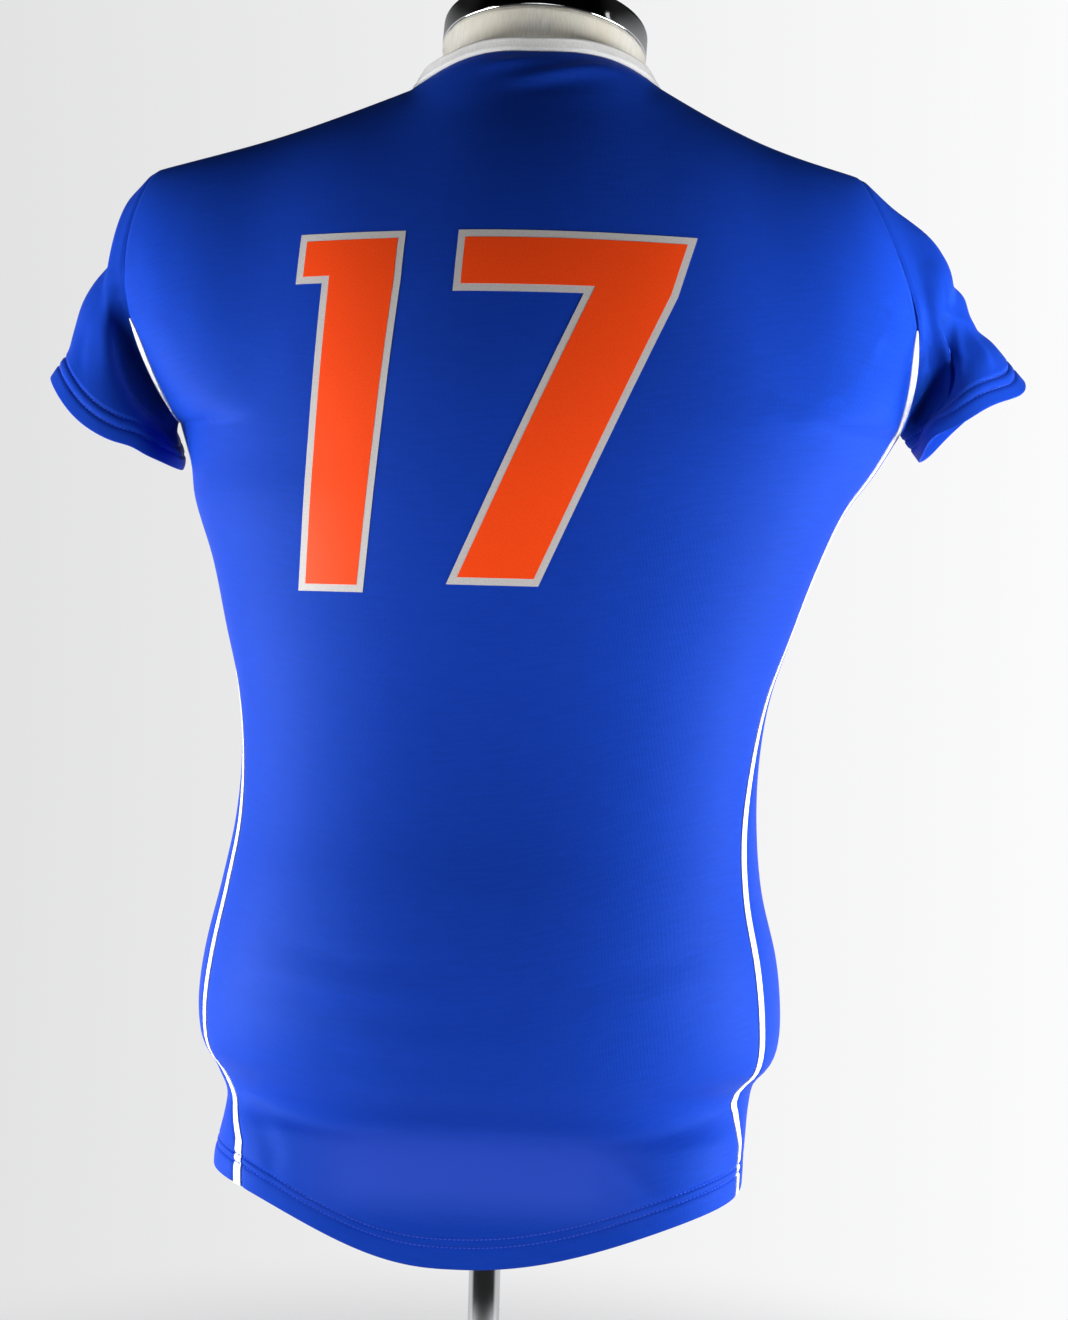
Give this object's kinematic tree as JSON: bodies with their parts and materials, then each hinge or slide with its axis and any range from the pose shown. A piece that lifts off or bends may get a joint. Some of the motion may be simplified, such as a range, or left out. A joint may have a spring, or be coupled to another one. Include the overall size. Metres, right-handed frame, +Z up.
{
  "type": "soccer jersey on dress form",
  "caption": "Short-sleeved knit jersey with rolled collar band, side stripes and a plain back number, worn by a limbless dress form on a pole stand.",
  "frame": {"origin": "centre of the stand base's flat underside, on the floor under the pole", "axes": "+Z up along the pole, -Y the way the jersey's front faces, +X the wearer's left"},
  "size_m": [0.6102, 0.299, 1.0224],
  "materials": {
    "blue_knit": "satin polyester knit",
    "white_knit": "matt knit",
    "orange_print": "satin print with a pale grey edge",
    "form_cover": "matt woven cover",
    "chrome": "polished",
    "dark_chrome": "polished, dark"
  },
  "bodies": {
    "root": {"back_panel": "blue_knit", "front_panel": "blue_knit", "sleeve_left": "blue_knit", "sleeve_right": "blue_knit", "collar": "white_knit", "stripe_left": "white_knit", "stripe_right": "white_knit", "number_one": "orange_print", "number_seven": "orange_print", "form_torso": "form_cover", "neck_cap": "dark_chrome", "stand_pole": "chrome", "stand_base": "chrome"}
  },
  "joints": []
}
